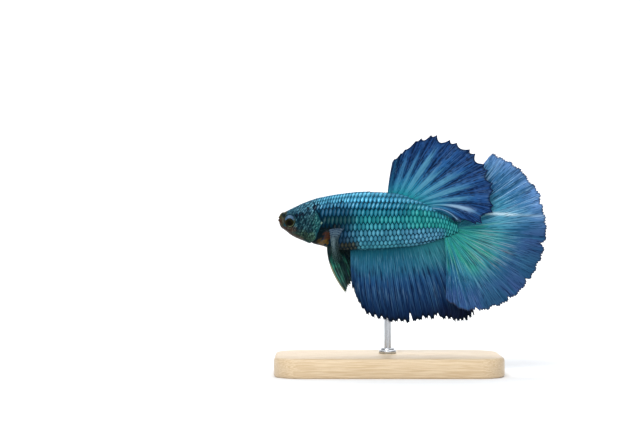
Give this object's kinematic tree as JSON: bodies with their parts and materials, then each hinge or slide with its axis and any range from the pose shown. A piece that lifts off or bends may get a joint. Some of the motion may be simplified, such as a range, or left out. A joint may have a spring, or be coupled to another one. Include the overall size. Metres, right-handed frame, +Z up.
{
  "type": "betta fish model",
  "caption": "Life-size still model of a swimming male betta fish with wide fan-shaped fins, held by a thin steel rod on a flat wooden base.",
  "frame": {"origin": "centre of the flat underside of the stand's base", "axes": "+X from the snout towards the tail fin, +Y towards the fish's right side, +Z up"},
  "size_m": [0.0699, 0.03, 0.0612],
  "materials": {
    "head_skin": "wet skin with small teal and slate flecks, olive brown at the lips",
    "jaw_skin": "wet olive brown skin",
    "gill_cover": "wet teal skin with dark slanting flecks",
    "eye": "polished dark eye with an olive gold ring",
    "scaled_skin": "pearly turquoise scales with dark navy edges",
    "dorsal_fin": "thin rayed fin, teal at the root and royal blue outside",
    "caudal_fin": "thin rayed fin, green teal at the root and steel blue outside",
    "anal_fin": "thin rayed fin, teal at the root and navy outside",
    "pectoral_fin": "half clear grey blue rayed fin",
    "ventral_fin": "dark green blade with turquoise glints and a pale leading edge",
    "stand_wood": "satin pale maple",
    "stand_steel": "fine brushed steel"
  },
  "bodies": {
    "root": {"head": "head_skin", "lower_jaw": "jaw_skin", "gill_cover_left": "gill_cover", "gill_cover_right": "gill_cover", "eye_left": "eye", "eye_right": "eye", "trunk": "scaled_skin", "tail_stalk": "scaled_skin", "dorsal_fin": "dorsal_fin", "caudal_fin": "caudal_fin", "anal_fin": "anal_fin", "pectoral_fin_left": "pectoral_fin", "pectoral_fin_right": "pectoral_fin", "ventral_fin_left": "ventral_fin", "ventral_fin_right": "ventral_fin", "stand_base": "stand_wood", "stand_rod": "stand_steel", "stand_collar": "stand_steel"}
  },
  "joints": []
}
